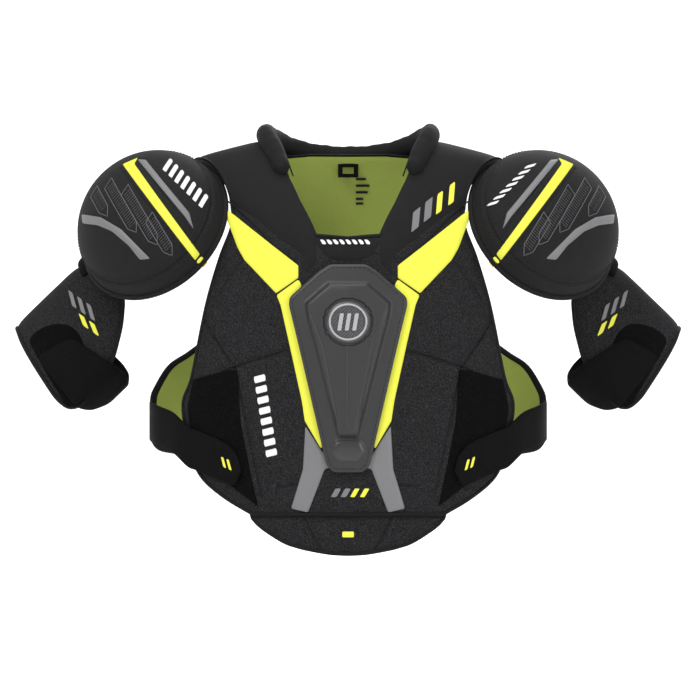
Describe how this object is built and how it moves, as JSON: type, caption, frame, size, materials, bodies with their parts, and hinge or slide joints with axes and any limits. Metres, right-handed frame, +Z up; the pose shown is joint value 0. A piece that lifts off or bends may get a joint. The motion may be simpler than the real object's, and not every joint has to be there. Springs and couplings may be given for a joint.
{
  "type": "ice hockey shoulder pads",
  "caption": "Ice hockey shoulder pads with domed caps, hinged biceps guards, moulded sternum plate, belly pad and hook-and-loop straps.",
  "frame": {"origin": "middle of the seat where the yokes rest on the wearer's shoulders", "axes": "+Z up, the chest faces -Y, +X is the wearer's left"},
  "size_m": [0.712, 0.2636, 0.4541],
  "materials": {
    "heather_fabric": "heather woven face over foam",
    "black_fabric": "smooth coated fabric",
    "lime_liner": "smooth wicking liner",
    "neon_trim": "grained synthetic leather",
    "grey_trim": "grained synthetic leather",
    "moulded_plate": "moulded and stitched",
    "loop_pile": "brushed loop pile",
    "webbing": "smooth elastic webbing",
    "binding": "folded tape binding",
    "foam": "closed-cell foam",
    "shell_insert": "thermoformed sheet",
    "badge": "moulded badge"
  },
  "bodies": {
    "back_unit": {"back_binding": "binding", "back_liner": "lime_liner", "back_panel": "heather_fabric", "back_wings": "black_fabric", "spine_guard": "moulded_plate", "yoke_left": "black_fabric", "yoke_right": "black_fabric", "collar_roll": "black_fabric", "side_strap_base_left": "webbing", "side_strap_base_right": "webbing"},
    "chest_unit": {"chest_liner": "lime_liner", "chest_panel": "heather_fabric", "chest_binding": "binding", "clavicle_pads": "black_fabric", "neon_inlays_upper": "neon_trim", "neon_inlays_lower": "neon_trim", "grey_inlays_lower": "grey_trim", "neck_insert": "black_fabric", "chest_loop_patches": "loop_pile", "sternum_insert": "foam", "sternum_guard": "moulded_plate", "sternum_badge": "badge"},
    "belly_unit": {"belly_pad": "heather_fabric", "belly_binding": "binding"},
    "cap_left": {"cap_cover_left": "black_fabric", "cap_shell_left": "shell_insert", "cap_foam_left": "foam", "cap_rim_left": "binding", "cap_neon_stripe_left": "neon_trim", "cap_grey_stripes_left": "grey_trim", "epaulet_left": "black_fabric", "biceps_hanger_left": "webbing"},
    "biceps_left": {"biceps_pad_left": "heather_fabric", "biceps_shell_left": "shell_insert", "biceps_liner_left": "lime_liner", "biceps_binding_left": "binding", "biceps_loop_patch_left": "loop_pile", "biceps_strap_rear_left": "webbing"},
    "biceps_strap_left": {"biceps_strap_front_left": "webbing"},
    "side_strap_left": {"side_strap_left": "webbing", "side_strap_tab_left": "webbing"},
    "cap_right": {"cap_cover_right": "black_fabric", "cap_shell_right": "shell_insert", "cap_foam_right": "foam", "cap_rim_right": "binding", "cap_neon_stripe_right": "neon_trim", "cap_grey_stripes_right": "grey_trim", "epaulet_right": "black_fabric", "biceps_hanger_right": "webbing"},
    "biceps_right": {"biceps_pad_right": "heather_fabric", "biceps_shell_right": "shell_insert", "biceps_liner_right": "lime_liner", "biceps_binding_right": "binding", "biceps_loop_patch_right": "loop_pile", "biceps_strap_rear_right": "webbing"},
    "biceps_strap_right": {"biceps_strap_front_right": "webbing"},
    "side_strap_right": {"side_strap_right": "webbing", "side_strap_tab_right": "webbing"},
    "hang_loop": {"hang_loop": "webbing"}
  },
  "joints": [
    {"name": "front_open", "type": "hinge", "parent": "back_unit", "child": "chest_unit", "pos_m": [0, -0.088, -0.031], "axis": [-1, 0, 0], "range_deg": [0, 20]},
    {"name": "belly_swing", "type": "hinge", "parent": "chest_unit", "child": "belly_unit", "pos_m": [0, -0.115, -0.3668], "axis": [-1, 0, 0], "range_deg": [0, 40], "stiffness_Nm_per_rad": 0.3},
    {"name": "hang_loop_swing", "type": "hinge", "parent": "back_unit", "child": "hang_loop", "pos_m": [0, 0.047, 0.008], "axis": [-1, 0, 0], "range_deg": [0, 60]},
    {"name": "cap_left_lift", "type": "hinge", "parent": "back_unit", "child": "cap_left", "pos_m": [0.1275, 0, 0.019], "axis": [0, -1, 0], "range_deg": [0, 45]},
    {"name": "biceps_left_swing", "type": "hinge", "parent": "cap_left", "child": "biceps_left", "pos_m": [0.283, 0.036, -0.097], "axis": [0, -1, 0], "range_deg": [-12, 35], "stiffness_Nm_per_rad": 0.8, "springref_deg": 1.72},
    {"name": "biceps_strap_left_peel", "type": "hinge", "parent": "biceps_left", "child": "biceps_strap_left", "pos_m": [0.241, 0.036, -0.2557], "axis": [0.72, 0, -0.694], "range_deg": [0, 50]},
    {"name": "side_strap_left_peel", "type": "hinge", "parent": "back_unit", "child": "side_strap_left", "pos_m": [0.2125, 0.03, -0.27], "axis": [0, 0, 1], "range_deg": [0, 64]},
    {"name": "cap_right_lift", "type": "hinge", "parent": "back_unit", "child": "cap_right", "pos_m": [-0.1275, 0, 0.019], "axis": [0, 1, 0], "range_deg": [0, 45]},
    {"name": "biceps_right_swing", "type": "hinge", "parent": "cap_right", "child": "biceps_right", "pos_m": [-0.283, 0.036, -0.097], "axis": [0, 1, 0], "range_deg": [-12, 35], "stiffness_Nm_per_rad": 0.8, "springref_deg": 1.72},
    {"name": "biceps_strap_right_peel", "type": "hinge", "parent": "biceps_right", "child": "biceps_strap_right", "pos_m": [-0.241, 0.036, -0.2557], "axis": [0.72, 0, 0.694], "range_deg": [0, 50]},
    {"name": "side_strap_right_peel", "type": "hinge", "parent": "back_unit", "child": "side_strap_right", "pos_m": [-0.2125, 0.03, -0.27], "axis": [0, 0, -1], "range_deg": [0, 64]}
  ],
  "couplings": [
    {"joint": "side_strap_left_peel", "follows": "front_open", "ratio": 3.1},
    {"joint": "side_strap_right_peel", "follows": "front_open", "ratio": 3.1}
  ]
}
